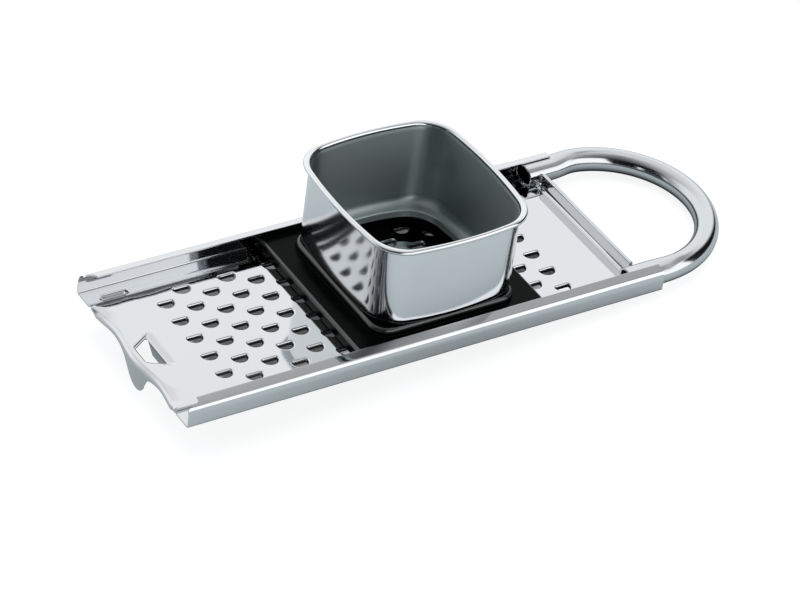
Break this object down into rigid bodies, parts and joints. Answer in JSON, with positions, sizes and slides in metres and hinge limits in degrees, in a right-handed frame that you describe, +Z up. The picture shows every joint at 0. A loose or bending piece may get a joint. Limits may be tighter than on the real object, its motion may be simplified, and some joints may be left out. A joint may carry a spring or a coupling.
{
  "type": "spaetzle maker",
  "caption": "Perforated steel tray with folded side rails, a front pot hook and a bent tube handle, with a square dough hopper that slides on a flat carriage.",
  "frame": {"origin": "middle of the perforated field, on the underside plane of the tray's flat floor", "axes": "+X along the rails towards the handle, +Y across the tray, +Z up through the hopper"},
  "size_m": [0.3188, 0.108, 0.0768],
  "materials": {
    "polished_sheet": "mirror-polished stainless steel sheet",
    "polished_tube": "mirror-polished stainless steel tube",
    "black_moulding": "satin black plastic",
    "brushed_hopper": "stainless steel, polished outside and finely brushed across inside"
  },
  "bodies": {
    "frame": {"perforated_tray": "polished_sheet", "tube_handle": "polished_tube"},
    "slider": {"carriage": "black_moulding", "hopper": "brushed_hopper"}
  },
  "joints": [
    {"name": "hopper_slide", "type": "slide", "parent": "frame", "child": "slider", "axis": [1, 0, 0], "range_m": [-0.0719, 0.047]}
  ]
}
